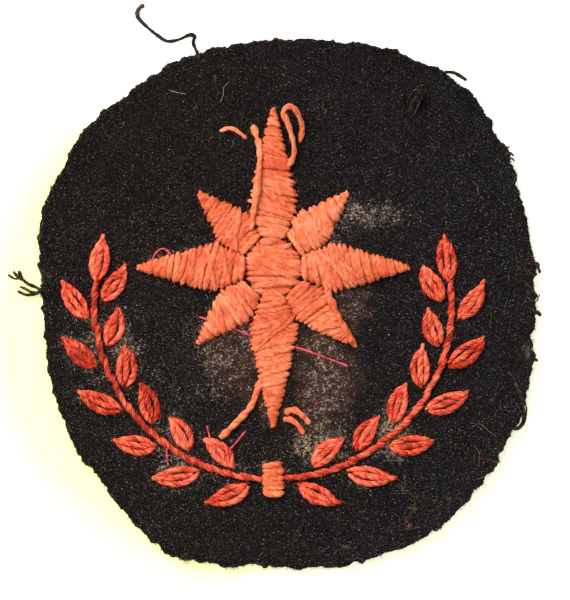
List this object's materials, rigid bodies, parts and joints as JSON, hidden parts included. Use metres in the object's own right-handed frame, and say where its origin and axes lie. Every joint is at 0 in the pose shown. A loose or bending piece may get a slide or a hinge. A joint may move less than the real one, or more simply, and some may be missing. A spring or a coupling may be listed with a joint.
{
  "type": "embroidered patch",
  "caption": "Oval patch of dark felted wool with an eight-rayed star in padded satin stitch inside a wreath of two leaf sprays; flat back for sewing or gluing on.",
  "frame": {"origin": "under the middle of the cloth, on the surface that the patch lies on", "axes": "+X to the patch's right seen from the front, +Y to its upper edge, +Z out of its face"},
  "size_m": [0.0644, 0.068, 0.0028],
  "materials": {
    "wool_cloth": "matt felted wool, faintly speckled with pale fibres",
    "satin_thread": "faded orange cotton floss in close satin stitch, soft sheen along the strands",
    "leaf_thread": "coral-red twisted cotton thread, soft sheen",
    "sewing_thread": "black sewing thread, matt",
    "basting_thread": "fine magenta thread, matt",
    "old_glue": "dry tan glue residue, crumbly and dull"
  },
  "bodies": {
    "root": {"cloth_ground": "wool_cloth", "star_hub": "satin_thread", "ray_right": "satin_thread", "ray_up_right": "satin_thread", "ray_up": "satin_thread", "ray_up_left": "satin_thread", "ray_left": "satin_thread", "ray_down_left": "satin_thread", "ray_down": "satin_thread", "ray_down_right": "satin_thread", "spray_stem_left": "leaf_thread", "spray_stem_right": "leaf_thread", "spray_tie": "satin_thread", "leaf_left_outer_1": "leaf_thread", "leaf_left_outer_2": "leaf_thread", "leaf_left_outer_3": "leaf_thread", "leaf_left_outer_4": "leaf_thread", "leaf_left_outer_5": "leaf_thread", "leaf_left_outer_6": "leaf_thread", "leaf_left_inner_1": "leaf_thread", "leaf_left_inner_2": "leaf_thread", "leaf_left_inner_3": "leaf_thread", "leaf_left_inner_4": "leaf_thread", "leaf_left_inner_5": "leaf_thread", "leaf_left_inner_6": "leaf_thread", "leaf_left_tip": "leaf_thread", "leaf_right_outer_1": "leaf_thread", "leaf_right_outer_2": "leaf_thread", "leaf_right_outer_3": "leaf_thread", "leaf_right_outer_4": "leaf_thread", "leaf_right_outer_5": "leaf_thread", "leaf_right_outer_6": "leaf_thread", "leaf_right_inner_1": "leaf_thread", "leaf_right_inner_2": "leaf_thread", "leaf_right_inner_3": "leaf_thread", "leaf_right_inner_4": "leaf_thread", "leaf_right_inner_5": "leaf_thread", "leaf_right_inner_6": "leaf_thread", "leaf_right_tip": "leaf_thread"}
  },
  "joints": []
}
